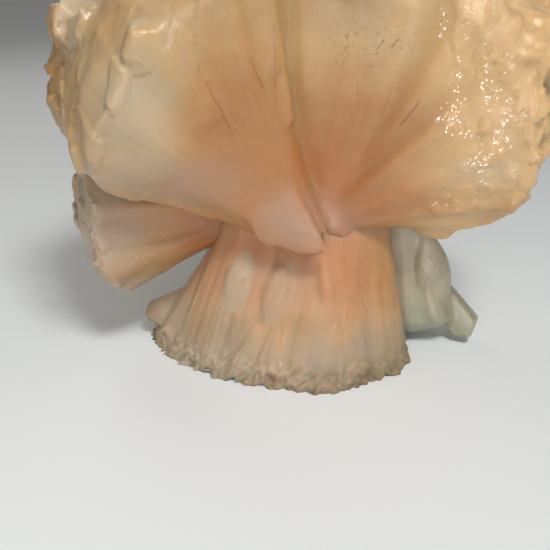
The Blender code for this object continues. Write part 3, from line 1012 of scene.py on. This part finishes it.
def cluster_pieces():
    """The lobes, blades and crystals that each piece is grown together from."""
    parts = placed_crystals(CRYSTALS) | placed_crystals(LEAVES, leaf=True)
    singles = []
    for fan in UPPER_FANS:
        rng = random.Random(SEED * 3 + sum(map(ord, fan.name)))
        for crystals in (proud_blades(fan, rng), cap_crystals(fan, rng)):
            for surface in crystals:
                singles.append(add_mesh(fan.name + "_crystal", *surface))
    singles.append(add_mesh("lip", *lip_plate(np.random.default_rng(SEED))))
    for fan in UPPER_FANS + FILLING_FANS + SIDE_FANS + LOWER_FANS:
        parts[fan.name] = add_mesh(fan.name, *fan_surface(fan))
    upper = [parts[fan.name] for fan in UPPER_FANS + FILLING_FANS]
    skirt = [parts[fan.name] for fan in LOWER_FANS]
    blocks = [parts[row[0]] for row in CRYSTALS if row[0].startswith("rim_block")]
    edge_blocks = [parts[row[0]] for row in CRYSTALS if row[0].startswith(("right_tip", "left_block"))]
    leaves = [parts[row[0]] for row in LEAVES if row[0].startswith("leaf")]
    return {
        "sheaf": upper + singles + edge_blocks,
        "ear_lobe": [parts["ear"]],
        "skirt_body": skirt + blocks + leaves,
        "pearly_crystal": [parts["pearly_blade"], parts["stub"], parts["pearly_bulge"]],
    }


def look_from_photo():
    """Camera where the photograph was taken from."""
    data = bpy.data.cameras.new("camera")
    camera = bpy.data.objects.new("camera", data)
    data.sensor_width = SENSOR_WIDTH
    data.lens = SENSOR_WIDTH * FOCAL_PIXELS / PICTURE_PIXELS
    data.clip_start = CAMERA_NEAREST
    camera.location = CAMERA_PLACE
    camera.rotation_euler = (math.radians(90 - CAMERA_DOWN), 0, 0)
    bpy.context.scene.collection.objects.link(camera)
    bpy.context.scene.camera = camera


def area_light(name, position, target, size, power, colour):
    data = bpy.data.lights.new(name, "AREA")
    data.shape = "SQUARE"
    data.size = size
    data.energy = power
    data.color = colour
    lamp = bpy.data.objects.new(name, data)
    lamp.location = position
    aim = Vector(target) - Vector(position)
    lamp.rotation_euler = aim.to_track_quat("-Z", "Y").to_euler()
    bpy.context.scene.collection.objects.link(lamp)


def studio():
    """A plain pale floor and soft light."""
    bpy.context.scene.view_settings.view_transform = "Standard"
    bpy.ops.mesh.primitive_plane_add(size=FLOOR_SIZE)
    floor = bpy.context.object
    floor.name = "floor"
    material = bpy.data.materials.new("floor")
    material.use_nodes = True
    shader = material.node_tree.nodes["Principled BSDF"]
    shader.inputs["Base Color"].default_value = FLOOR_COLOUR
    shader.inputs["Roughness"].default_value = FLOOR_ROUGHNESS
    floor.data.materials.append(material)
    world = bpy.data.worlds.new("studio")
    bpy.context.scene.world = world
    world.use_nodes = True
    background = world.node_tree.nodes["Background"]
    background.inputs["Color"].default_value = WORLD_COLOUR
    background.inputs["Strength"].default_value = WORLD_STRENGTH
    for lamp in LAMPS:
        area_light(*lamp)


def loose_crumbs(body):
    """Corners of every shell of a mesh but the largest."""
    seen = set()
    shells = []
    for first in body.verts:
        if first in seen:
            continue
        seen.add(first)
        waiting = [first]
        shell = []
        while waiting:
            corner = waiting.pop()
            shell.append(corner)
            for edge in corner.link_edges:
                other = edge.other_vert(corner)
                if other not in seen:
                    seen.add(other)
                    waiting.append(other)
        shells.append(shell)
    shells.sort(key=len)
    return [corner for shell in shells[:-1] for corner in shell]


def cut_flat(mesh):
    """Cuts a piece off at the ground, drops the crumbs that come loose and closes the cut."""
    body = bmesh.new()
    body.from_mesh(mesh)
    everything = body.verts[:] + body.edges[:] + body.faces[:]
    cut = bmesh.ops.bisect_plane(
        body, geom=everything, dist=1e-7, plane_co=(0, 0, 0), plane_no=(0, 0, -1), clear_outer=True
    )
    bmesh.ops.delete(body, geom=loose_crumbs(body), context="VERTS")
    rim = [part for part in cut["geom_cut"] if part.is_valid and isinstance(part, bmesh.types.BMEdge)]
    if rim:
        bmesh.ops.contextual_create(body, geom=rim)
    body.to_mesh(mesh)
    body.free()


def dress(piece, material):
    """Gives a finished piece its attributes, shading, material and place in the frame."""
    mesh = piece.data
    looks, tints = masks(mesh_points(mesh))
    for name, values in (("looks", looks), ("tints", tints)):
        attribute = mesh.attributes.new(name, "FLOAT_VECTOR", "POINT")
        attribute.data.foreach_set("vector", values.astype(np.float32).ravel())
    cut_flat(mesh)
    mesh.materials.clear()
    mesh.materials.append(material)
    mesh.shade_smooth()
    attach(piece, "root")
    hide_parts(NODE)


def patched(points, patches):
    """Share of a tint at each point."""
    clear = np.ones(len(points))
    for middle, radius, strength in patches:
        distance = np.linalg.norm((points - middle) / np.asarray(radius), axis=1)
        clear *= 1 - strength * smooth(*PATCH_FADE, distance)
    return 1 - clear


def on_leaves(points):
    """How far each point is on one of the leaves, from 0 to 1."""
    most = np.zeros(len(points))
    for (_, foot, tip, half_width, _, _), strength in zip(LEAVES, LEAF_STRENGTHS):
        foot, along = np.asarray(foot), np.asarray(tip) - foot
        share = (points - foot) @ along / along.dot(along)
        aside = np.linalg.norm(points - foot - share[:, None] * along, axis=1) / half_width
        outward = np.hypot(aside, 2 * share - 1)
        most = np.maximum(most, strength * smooth(*LEAF_EDGE, outward))
    return most


def masks(points):
    """Shares of orange, white and tan, some of them painted shade and light, and of pink, dirt with painted
    shade, and wet sparkle, at each point.
    """
    looks = [patched(points, patches) for patches in (ORANGE_PATCHES, WHITE_PATCHES, TAN_PATCHES)]
    tints = [patched(points, patches) for patches in (PINK_PATCHES, DIRT_AND_SHADE_PATCHES, WET_PATCHES)]
    looks[1] = np.maximum(looks[1], LEAF_WHITENESS * on_leaves(points))
    tints[0] = np.maximum(tints[0], LEAF_PINKNESS * on_leaves(points))
    return np.stack(looks, 1), np.stack(tints, 1)


def softness(name, points):
    """How much the steps of a piece are softened: less at the lips, the left edge, the rim of the skirt and
    the tip of the ear, and more on the waxy left lobe. Places are in mm."""
    x, y, z = points.T
    if name == "sheaf":
        lips = smooth(38, 33, z) * smooth(14, 8, abs(x - 6))
        plate = smooth(46, 40, z) * smooth(17, 13, abs(x + 1)) * smooth(-15, -18, y)
        waxy = smooth(-12, -20, x) * smooth(-38, -34, x) * smooth(55, 66, z) * smooth(-16, -22, y)
        return 0.55 - 0.5 * np.maximum(0.7 * lips, plate) - 0.3 * smooth(-38, -45, x) + 0.4 * waxy
    if name == "skirt_body":
        return 0.6 - 0.5 * smooth(9, 4, z) + 0.3 * on_leaves(points)
    if name == "ear_lobe":
        return 0.5 - 0.2 * smooth(-40, -46, x)
    return np.full(len(points), 0.45)


def squeezed(points, size, along, stretch):
    """Points in cells of that size in mm, which are longer along the fibres."""
    along = unit(along)
    return (points - np.outer(points @ along, along) * (1 - 1 / stretch)) / size


def facets(places, share):
    """Height of flat crystal faces with sharp steps between them, a cell each, where share isn't nought."""
    heights = np.zeros(len(places))
    for index in np.flatnonzero(share > FACE_SHARE):
        place = Vector(places[index])
        middle = noise.voronoi(place)[1][0]
        tilt = 2 * noise.cell_vector(middle * CELL_SHUFFLE) - Vector((1, 1, 1))
        step = CELL_STEP * (tilt[0] + tilt[1])
        heights[index] = share[index] * ((place - middle).dot(tilt) + step)
    return heights


def crumbs(points, size):
    """Uneven crumbly relief with grains of that size in mm, from -1 to 1 or so."""
    return np.array([2 * noise.noise(Vector(point) / size) for point in points.tolist()])


def fine_relief(name, points, fibres):
    """Height of the druse and crumbs that a piece has on its surface. All is in mm."""
    x, y, z = points.T
    cap = smooth(0.92, 0.99, fibres[:, 2])
    left = np.maximum(smooth(-30, -42, x), cap * smooth(20, 10, x))
    shares = {
        "cap": cap,
        "right": np.clip(smooth(20, 36, x) * smooth(-6, -16, y) + smooth(40, 50, x), 0, 1),
        "left": np.maximum(left, smooth(-10, -24, x) * smooth(69, 76, z)),
        "rim": smooth(42, 50, x) + 0.6 * smooth(-45, -50, x),
    }
    height = np.zeros(len(points))
    for place, high, size, along, stretch in FACES.get(name, ()):
        height += high * facets(squeezed(points, size, along, stretch), shares[place])
    if name == "skirt_body":
        bladed = smooth(0.35, 0.6, fibres[:, 2]) * (1 - on_leaves(points))
        height += SKIRT_FACE * facets(fibres * SKIRT_CELLS, bladed)
        height += smooth(7, 2.5, z) * sum(high * crumbs(points, size) for high, size in RIM_CRUMBS)
    return height


look_from_photo()
studio()
for name, parts in cluster_pieces().items():
    voxel, gloss, veins, stops = PIECES[name]
    rough = joined(name + "_rough", parts[0], parts[1:]) if len(parts) > 1 else parts[0]
    piece = grown_over(name, rough, voxel)
    dress(piece, crystal_material(name, stops, gloss, veins, cracked=name == "sheaf"))
